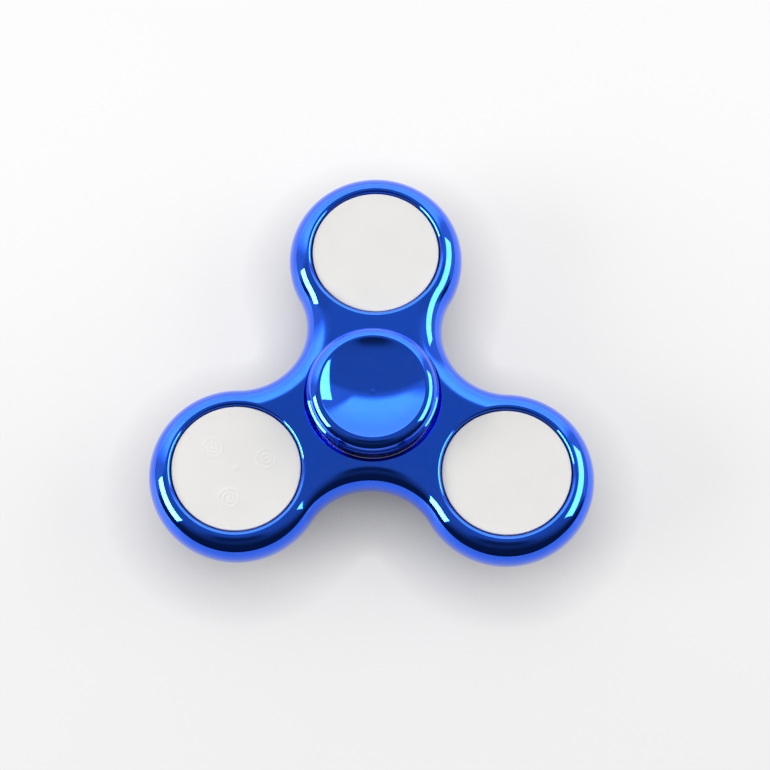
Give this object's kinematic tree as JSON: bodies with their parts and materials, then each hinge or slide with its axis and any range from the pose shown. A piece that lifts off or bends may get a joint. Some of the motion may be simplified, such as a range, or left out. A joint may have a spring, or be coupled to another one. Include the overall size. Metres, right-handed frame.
{
  "type": "fidget spinner",
  "caption": "Tri-lobe light-up fidget spinner: plated shell on a ball bearing between two concave finger caps, with white push-button light pods in the lobes.",
  "frame": {"origin": "centre of the ball bearing, on the spin axis in the middle plane of the shell", "axes": "+Z along the spin axis towards the upper finger cap; +Y along lobe A; +X completes the right-handed frame"},
  "size_m": [0.075, 0.069, 0.0196],
  "materials": {
    "plated_blue": "polished",
    "lens_white": "satin",
    "cup_white": "satin",
    "bearing_steel": "polished",
    "shield_steel": "satin",
    "cage_nylon": "satin",
    "board_green": "satin",
    "led_clear": "gloss",
    "switch_black": "satin",
    "plunger_grey": "satin",
    "cell_steel": "polished",
    "contact_brass": "satin"
  },
  "bodies": {
    "hub": {"finger_cap_top": "plated_blue", "finger_cap_bottom": "plated_blue", "bearing_inner_ring": "bearing_steel"},
    "rotor": {"body_shell": "plated_blue", "bearing_outer_ring": "bearing_steel", "bearing_shield_top": "shield_steel", "bearing_shield_bottom": "shield_steel", "pod_a_cup": "cup_white", "pod_a_circuit_board": "board_green", "pod_a_switch_case": "switch_black", "pod_a_driver_chip": "switch_black", "pod_a_led_1": "led_clear", "pod_a_led_2": "led_clear", "pod_a_led_3": "led_clear", "pod_a_cell_1": "cell_steel", "pod_a_cell_2": "cell_steel", "pod_a_cell_3": "cell_steel", "pod_a_contact_lower": "contact_brass", "pod_a_contact_upper": "contact_brass", "pod_b_cup": "cup_white", "pod_b_circuit_board": "board_green", "pod_b_switch_case": "switch_black", "pod_b_driver_chip": "switch_black", "pod_b_led_1": "led_clear", "pod_b_led_2": "led_clear", "pod_b_led_3": "led_clear", "pod_b_cell_1": "cell_steel", "pod_b_cell_2": "cell_steel", "pod_b_cell_3": "cell_steel", "pod_b_contact_lower": "contact_brass", "pod_b_contact_upper": "contact_brass", "pod_c_cup": "cup_white", "pod_c_circuit_board": "board_green", "pod_c_switch_case": "switch_black", "pod_c_driver_chip": "switch_black", "pod_c_led_1": "led_clear", "pod_c_led_2": "led_clear", "pod_c_led_3": "led_clear", "pod_c_cell_1": "cell_steel", "pod_c_cell_2": "cell_steel", "pod_c_cell_3": "cell_steel", "pod_c_contact_lower": "contact_brass", "pod_c_contact_upper": "contact_brass"},
    "ball_cage": {"bearing_cage": "cage_nylon", "bearing_ball_1": "bearing_steel", "bearing_ball_2": "bearing_steel", "bearing_ball_3": "bearing_steel", "bearing_ball_4": "bearing_steel", "bearing_ball_5": "bearing_steel", "bearing_ball_6": "bearing_steel", "bearing_ball_7": "bearing_steel"},
    "button_a": {"pod_a_button": "lens_white", "pod_a_switch_plunger": "plunger_grey"},
    "button_b": {"pod_b_button": "lens_white", "pod_b_switch_plunger": "plunger_grey"},
    "button_c": {"pod_c_button": "lens_white", "pod_c_switch_plunger": "plunger_grey"}
  },
  "joints": [
    {"name": "spin", "type": "hinge", "parent": "hub", "child": "rotor", "pos_m": [0, 0, 0], "axis": [0, 0, 1], "continuous": true},
    {"name": "cage_orbit", "type": "hinge", "parent": "hub", "child": "ball_cage", "pos_m": [0, 0, 0], "axis": [0, 0, 1], "continuous": true},
    {"name": "press_a", "type": "slide", "parent": "rotor", "child": "button_a", "axis": [0, 0, -1], "range_m": [0, 0.0003], "stiffness_N_per_m": 400},
    {"name": "press_b", "type": "slide", "parent": "rotor", "child": "button_b", "axis": [0, 0, -1], "range_m": [0, 0.0003], "stiffness_N_per_m": 400},
    {"name": "press_c", "type": "slide", "parent": "rotor", "child": "button_c", "axis": [0, 0, -1], "range_m": [0, 0.0003], "stiffness_N_per_m": 400}
  ],
  "couplings": [
    {"joint": "cage_orbit", "follows": "spin", "ratio": 0.6323}
  ]
}
